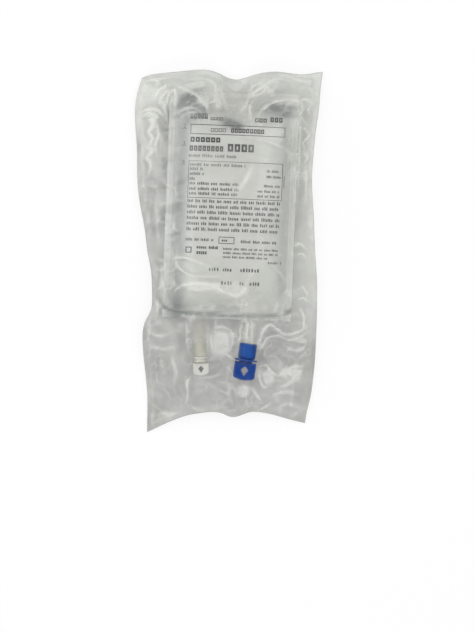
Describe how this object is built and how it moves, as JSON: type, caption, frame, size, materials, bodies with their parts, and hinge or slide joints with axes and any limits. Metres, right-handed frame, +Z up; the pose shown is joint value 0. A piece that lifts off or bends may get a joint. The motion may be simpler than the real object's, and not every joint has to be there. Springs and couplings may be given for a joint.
{
  "type": "infusion bag in overwrap",
  "caption": "Filled bag of clear film with a printed front and two capped ports, sealed in a loose, crinkled clear pouch and lying on its back.",
  "frame": {"origin": "on the surface the pack lies on, under the middle of the pouch's outline", "axes": "+X to the right across the printed front, +Y towards the hanging end, +Z up from the surface, out of the printed front"},
  "size_m": [0.168, 0.3234, 0.0384],
  "materials": {
    "overwrap_film": "clear crinkled film with a soft gloss and a slight grey haze",
    "bag_film": "clear, slightly hazy film, printed in dark grey on the front",
    "solution": "clear colourless liquid",
    "spout_plastic": "milky translucent moulded plastic",
    "septum_rubber": "matt beige rubber",
    "white_cap": "white moulded plastic, satin",
    "blue_cap": "blue moulded plastic, satin"
  },
  "bodies": {
    "root": {"overwrap_front_film": "overwrap_film", "overwrap_back_film": "overwrap_film", "bag_front_film": "bag_film", "bag_back_film": "bag_film", "saline_solution": "solution", "infusion_spout": "spout_plastic", "injection_spout": "spout_plastic", "infusion_septum": "septum_rubber", "injection_septum": "septum_rubber", "infusion_cap": "white_cap", "injection_cap": "blue_cap"}
  },
  "joints": []
}
